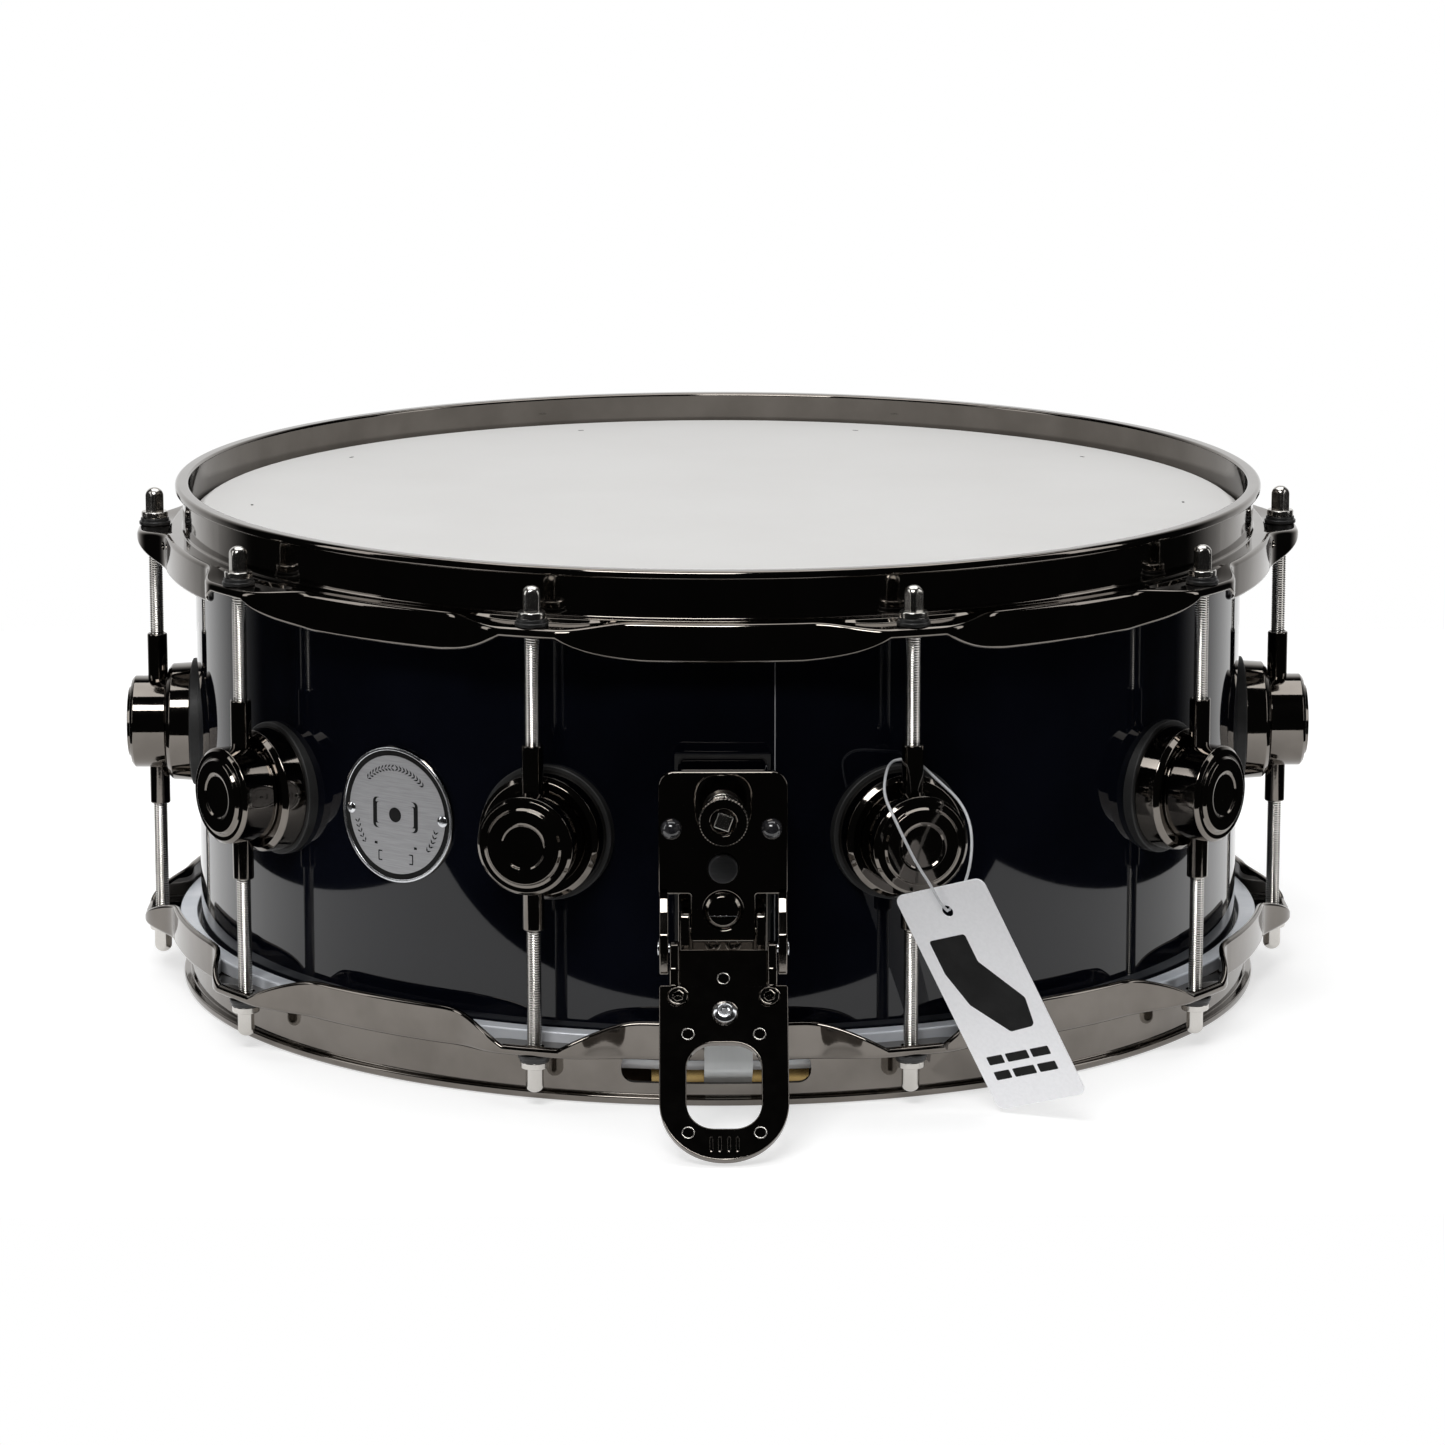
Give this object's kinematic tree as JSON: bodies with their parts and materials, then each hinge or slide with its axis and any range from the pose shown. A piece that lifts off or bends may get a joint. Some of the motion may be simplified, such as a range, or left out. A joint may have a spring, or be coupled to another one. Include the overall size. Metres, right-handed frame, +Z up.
{
  "type": "snare drum",
  "caption": "Shallow double-headed drum with cast hoops, tension rods in tube lugs, and wire snares engaged by a hinged throw-off lever.",
  "frame": {"origin": "centre of the lower hoop's rim, on the plane that the drum stands on", "axes": "+Z up along the drum's axis, -Y towards the throw-off, +X to the right seen from the throw-off"},
  "size_m": [0.403, 0.4481, 0.1714],
  "materials": {
    "maple": "clear-sealed maple ply",
    "navy_wrap": "near-black navy lacquer, high gloss",
    "black_rubber": "matt black rubber",
    "bumper_gel": "clear rubber dome over a dark base",
    "black_nickel": "black nickel mirror plating",
    "bright_steel": "bright zinc-plated steel",
    "rod_steel": "bright stainless steel with a fine thread",
    "coated_film": "white coated polyester, matt and slightly grainy",
    "clear_film": "thin clear polyester film",
    "flesh_aluminium": "bright rolled aluminium",
    "black_nylon": "black nylon",
    "badge_metal": "plated metal with a brushed face and a black ring",
    "end_plate_brass": "polished brass",
    "snare_steel": "coiled steel wire",
    "strap_film": "frosted polyester strip",
    "tag_card": "white uncoated card",
    "tag_strand": "clear moulded plastic strand"
  },
  "bodies": {
    "drum": {"shell": "maple", "finish_wrap": "navy_wrap", "reinforcement_rings": "maple", "lug_gaskets": "black_rubber", "lug_turrets": "black_nickel", "lug_tubes": "black_nickel", "lug_screws": "bright_steel", "top_hoop": "black_nickel", "bottom_hoop": "black_nickel", "batter_head_film": "coated_film", "batter_flesh_hoop": "flesh_aluminium", "snare_head_film": "clear_film", "snare_flesh_hoop": "flesh_aluminium", "rod_washers_top": "black_nylon", "rod_washers_bottom": "black_nylon", "badge": "badge_metal", "badge_tacks": "badge_metal", "vent_grommet": "black_nickel", "strainer_gaskets": "black_rubber", "throwoff_housing": "black_nickel", "throwoff_faceplate": "black_nickel", "strainer_mount_screws": "bright_steel", "magnet": "bright_steel", "bumpers": "bumper_gel", "guide_rods": "bright_steel", "hinge_pins": "bright_steel", "butt_plate": "black_nickel", "butt_clamp_bar": "black_nickel", "butt_screws": "bright_steel", "hang_tag": "tag_card", "tag_loop": "tag_strand"},
    "throwoff_lever": {"lever": "black_nickel", "lever_fasteners": "bright_steel"},
    "strainer_slide": {"carriage": "black_nickel", "clamp_bar": "black_nickel", "clamp_screws": "bright_steel"},
    "snare_set": {"snare_straps": "strap_film", "snare_end_plates": "end_plate_brass", "snare_wires": "snare_steel"},
    "adjuster_knob": {"knob": "black_nickel"},
    "rod_top_1": {"tension_rod_top_1": "rod_steel"},
    "rod_top_2": {"tension_rod_top_2": "rod_steel"},
    "rod_top_3": {"tension_rod_top_3": "rod_steel"},
    "rod_top_4": {"tension_rod_top_4": "rod_steel"},
    "rod_top_5": {"tension_rod_top_5": "rod_steel"},
    "rod_top_6": {"tension_rod_top_6": "rod_steel"},
    "rod_top_7": {"tension_rod_top_7": "rod_steel"},
    "rod_top_8": {"tension_rod_top_8": "rod_steel"},
    "rod_top_9": {"tension_rod_top_9": "rod_steel"},
    "rod_top_10": {"tension_rod_top_10": "rod_steel"},
    "rod_bottom_1": {"tension_rod_bottom_1": "rod_steel"},
    "rod_bottom_2": {"tension_rod_bottom_2": "rod_steel"},
    "rod_bottom_3": {"tension_rod_bottom_3": "rod_steel"},
    "rod_bottom_4": {"tension_rod_bottom_4": "rod_steel"},
    "rod_bottom_5": {"tension_rod_bottom_5": "rod_steel"},
    "rod_bottom_6": {"tension_rod_bottom_6": "rod_steel"},
    "rod_bottom_7": {"tension_rod_bottom_7": "rod_steel"},
    "rod_bottom_8": {"tension_rod_bottom_8": "rod_steel"},
    "rod_bottom_9": {"tension_rod_bottom_9": "rod_steel"},
    "rod_bottom_10": {"tension_rod_bottom_10": "rod_steel"}
  },
  "joints": [
    {"name": "lever_swing", "type": "hinge", "parent": "drum", "child": "throwoff_lever", "pos_m": [0, -0.204, 0.0567], "axis": [-1, 0, 0], "range_deg": [0, 138.5]},
    {"name": "carriage_lift", "type": "slide", "parent": "drum", "child": "strainer_slide", "axis": [0, 0, 1], "range_m": [0, 0.005]},
    {"name": "snares_lift", "type": "slide", "parent": "strainer_slide", "child": "snare_set", "axis": [0, 0, -1], "range_m": [0, 0.0035]},
    {"name": "knob_turn", "type": "hinge", "parent": "drum", "child": "adjuster_knob", "pos_m": [0, -0.2, 0.0989], "axis": [0, -1, 0], "continuous": true},
    {"name": "rod_top_1_turn", "type": "hinge", "parent": "drum", "child": "rod_top_1", "pos_m": [0.05918, -0.18213, 0.0857], "axis": [0, 0, 1], "continuous": true},
    {"name": "rod_top_2_turn", "type": "hinge", "parent": "drum", "child": "rod_top_2", "pos_m": [0.15493, -0.11256, 0.0857], "axis": [0, 0, 1], "continuous": true},
    {"name": "rod_top_3_turn", "type": "hinge", "parent": "drum", "child": "rod_top_3", "pos_m": [0.1915, 0, 0.0857], "axis": [0, 0, 1], "continuous": true},
    {"name": "rod_top_4_turn", "type": "hinge", "parent": "drum", "child": "rod_top_4", "pos_m": [0.15493, 0.11256, 0.0857], "axis": [0, 0, 1], "continuous": true},
    {"name": "rod_top_5_turn", "type": "hinge", "parent": "drum", "child": "rod_top_5", "pos_m": [0.05918, 0.18213, 0.0857], "axis": [0, 0, 1], "continuous": true},
    {"name": "rod_top_6_turn", "type": "hinge", "parent": "drum", "child": "rod_top_6", "pos_m": [-0.05918, 0.18213, 0.0857], "axis": [0, 0, 1], "continuous": true},
    {"name": "rod_top_7_turn", "type": "hinge", "parent": "drum", "child": "rod_top_7", "pos_m": [-0.15493, 0.11256, 0.0857], "axis": [0, 0, 1], "continuous": true},
    {"name": "rod_top_8_turn", "type": "hinge", "parent": "drum", "child": "rod_top_8", "pos_m": [-0.1915, 0, 0.0857], "axis": [0, 0, 1], "continuous": true},
    {"name": "rod_top_9_turn", "type": "hinge", "parent": "drum", "child": "rod_top_9", "pos_m": [-0.15493, -0.11256, 0.0857], "axis": [0, 0, 1], "continuous": true},
    {"name": "rod_top_10_turn", "type": "hinge", "parent": "drum", "child": "rod_top_10", "pos_m": [-0.05918, -0.18213, 0.0857], "axis": [0, 0, 1], "continuous": true},
    {"name": "rod_bottom_1_turn", "type": "hinge", "parent": "drum", "child": "rod_bottom_1", "pos_m": [0.05918, -0.18213, 0.0857], "axis": [0, 0, 1], "continuous": true},
    {"name": "rod_bottom_2_turn", "type": "hinge", "parent": "drum", "child": "rod_bottom_2", "pos_m": [0.15493, -0.11256, 0.0857], "axis": [0, 0, 1], "continuous": true},
    {"name": "rod_bottom_3_turn", "type": "hinge", "parent": "drum", "child": "rod_bottom_3", "pos_m": [0.1915, 0, 0.0857], "axis": [0, 0, 1], "continuous": true},
    {"name": "rod_bottom_4_turn", "type": "hinge", "parent": "drum", "child": "rod_bottom_4", "pos_m": [0.15493, 0.11256, 0.0857], "axis": [0, 0, 1], "continuous": true},
    {"name": "rod_bottom_5_turn", "type": "hinge", "parent": "drum", "child": "rod_bottom_5", "pos_m": [0.05918, 0.18213, 0.0857], "axis": [0, 0, 1], "continuous": true},
    {"name": "rod_bottom_6_turn", "type": "hinge", "parent": "drum", "child": "rod_bottom_6", "pos_m": [-0.05918, 0.18213, 0.0857], "axis": [0, 0, 1], "continuous": true},
    {"name": "rod_bottom_7_turn", "type": "hinge", "parent": "drum", "child": "rod_bottom_7", "pos_m": [-0.15493, 0.11256, 0.0857], "axis": [0, 0, 1], "continuous": true},
    {"name": "rod_bottom_8_turn", "type": "hinge", "parent": "drum", "child": "rod_bottom_8", "pos_m": [-0.1915, 0, 0.0857], "axis": [0, 0, 1], "continuous": true},
    {"name": "rod_bottom_9_turn", "type": "hinge", "parent": "drum", "child": "rod_bottom_9", "pos_m": [-0.15493, -0.11256, 0.0857], "axis": [0, 0, 1], "continuous": true},
    {"name": "rod_bottom_10_turn", "type": "hinge", "parent": "drum", "child": "rod_bottom_10", "pos_m": [-0.05918, -0.18213, 0.0857], "axis": [0, 0, 1], "continuous": true}
  ],
  "couplings": [
    {"joint": "carriage_lift", "follows": "lever_swing", "m_per_rad": 0.0020684},
    {"joint": "snares_lift", "follows": "lever_swing", "m_per_rad": 0.0014479}
  ]
}
